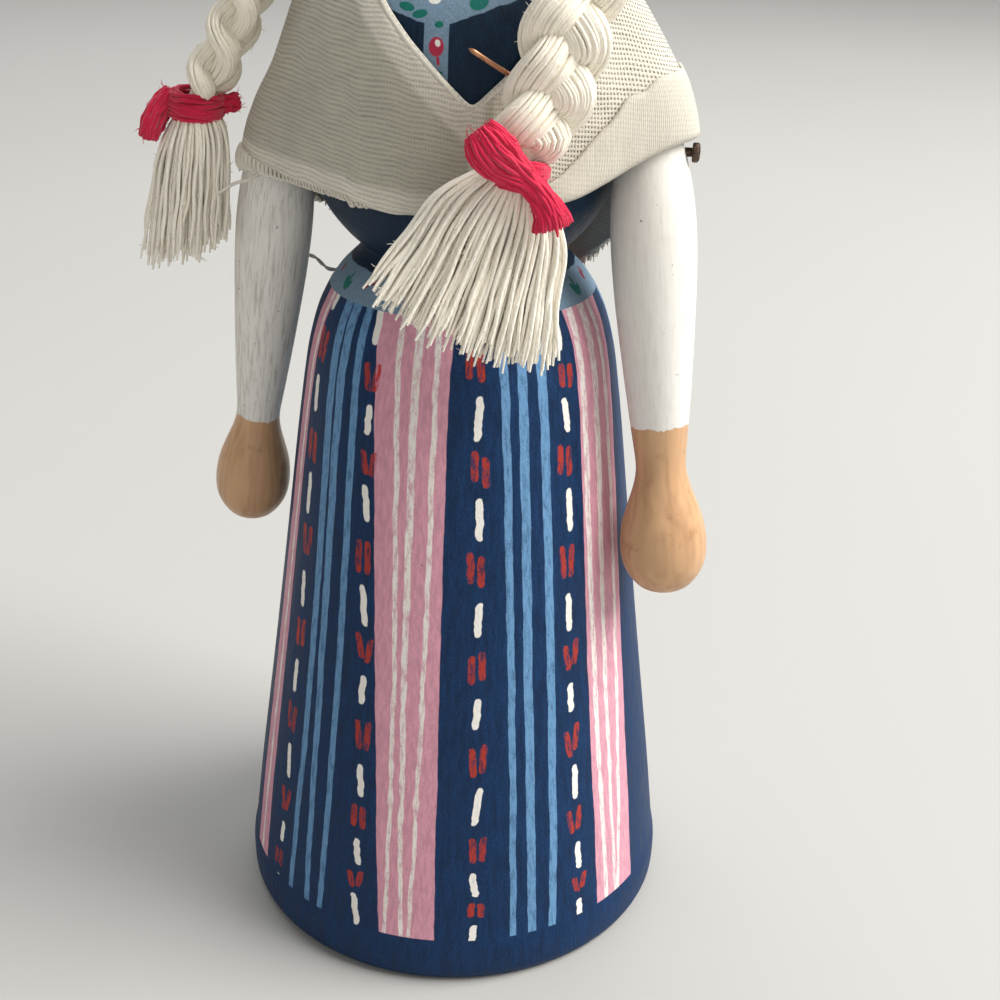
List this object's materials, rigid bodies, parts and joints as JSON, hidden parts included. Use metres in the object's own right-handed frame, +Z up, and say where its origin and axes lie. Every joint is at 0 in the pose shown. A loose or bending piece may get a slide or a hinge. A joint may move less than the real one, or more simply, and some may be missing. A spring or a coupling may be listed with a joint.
{
  "type": "turned wooden folk costume doll",
  "caption": "Standing turned wooden doll in folk costume, with a painted striped skirt, linen shawl, wooden hands and yarn plaits.",
  "frame": {"origin": "centre of the flat underside of the skirt", "axes": "+Z up along the turned axis; the doll faces -Y; +X is its left"},
  "size_m": [0.0695, 0.0581, 0.1506],
  "materials": {
    "navy_painted_wood": "matte paint with hand painted stripes",
    "lacquered_wood": "clear lacquer",
    "white_painted_wood": "thin white paint, bare lacquered hand",
    "dark_steel": "oxidised",
    "linen": "coarse plain weave",
    "cream_yarn": "soft yarn",
    "red_yarn": "fuzzy yarn",
    "copper": "dull copper colour",
    "grey_thread": "twisted thread"
  },
  "bodies": {
    "root": {"body": "navy_painted_wood", "head": "lacquered_wood", "right_arm": "white_painted_wood", "left_arm": "white_painted_wood", "left_arm_tack": "dark_steel", "shawl": "linen", "hair": "cream_yarn", "right_braid": "cream_yarn", "left_braid": "cream_yarn", "right_braid_tie": "red_yarn", "left_braid_tie": "red_yarn", "shawl_pin": "copper", "waist_thread": "grey_thread"}
  },
  "joints": []
}
